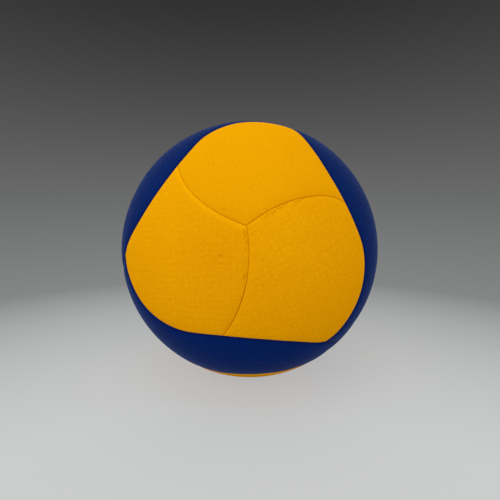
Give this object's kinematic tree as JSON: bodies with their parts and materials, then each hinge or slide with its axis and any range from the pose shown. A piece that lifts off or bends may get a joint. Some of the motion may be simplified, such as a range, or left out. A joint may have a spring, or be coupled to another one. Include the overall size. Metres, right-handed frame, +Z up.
{
  "type": "volleyball",
  "caption": "Round indoor volleyball with swirled yellow and blue cushioned panels over a wound, air-filled core, inflated through a needle valve.",
  "frame": {"origin": "centre of the ball", "axes": "+Z up as the ball lies in the picture, -Y towards the viewer, with the front yellow hub in the YZ plane, 17.3 degrees above level"},
  "size_m": [0.21, 0.21, 0.21],
  "materials": {
    "yellow_microfibre": "matt dimpled synthetic leather",
    "blue_microfibre": "matt dimpled synthetic leather",
    "foam_backing": "soft closed-cell sponge",
    "carcass_rubber": "smooth natural rubber",
    "winding_thread": "wound thread",
    "bladder_rubber": "smooth butyl rubber",
    "valve_rubber": "smooth soft rubber"
  },
  "bodies": {
    "root": {"yellow_cover_front_1": "yellow_microfibre", "yellow_cover_front_2": "yellow_microfibre", "yellow_cover_front_3": "yellow_microfibre", "yellow_cover_lower_1": "yellow_microfibre", "yellow_cover_lower_2": "yellow_microfibre", "yellow_cover_lower_3": "yellow_microfibre", "yellow_cover_right_1": "yellow_microfibre", "yellow_cover_right_2": "yellow_microfibre", "yellow_cover_right_3": "yellow_microfibre", "yellow_cover_left_1": "yellow_microfibre", "yellow_cover_left_2": "yellow_microfibre", "yellow_cover_left_3": "yellow_microfibre", "blue_cover_front_low": "blue_microfibre", "blue_cover_front_right": "blue_microfibre", "blue_cover_front_high": "blue_microfibre", "blue_cover_rear_high": "blue_microfibre", "blue_cover_rear_left": "blue_microfibre", "blue_cover_rear_low": "blue_microfibre", "yellow_foam_front_1": "foam_backing", "yellow_foam_front_2": "foam_backing", "yellow_foam_front_3": "foam_backing", "yellow_foam_lower_1": "foam_backing", "yellow_foam_lower_2": "foam_backing", "yellow_foam_lower_3": "foam_backing", "yellow_foam_right_1": "foam_backing", "yellow_foam_right_2": "foam_backing", "yellow_foam_right_3": "foam_backing", "yellow_foam_left_1": "foam_backing", "yellow_foam_left_2": "foam_backing", "yellow_foam_left_3": "foam_backing", "blue_foam_front_low": "foam_backing", "blue_foam_front_right": "foam_backing", "blue_foam_front_high": "foam_backing", "blue_foam_rear_high": "foam_backing", "blue_foam_rear_left": "foam_backing", "blue_foam_rear_low": "foam_backing", "carcass": "carcass_rubber", "thread_winding": "winding_thread", "bladder": "bladder_rubber", "valve_patch": "bladder_rubber", "valve_housing": "valve_rubber", "valve_core": "valve_rubber"}
  },
  "joints": []
}
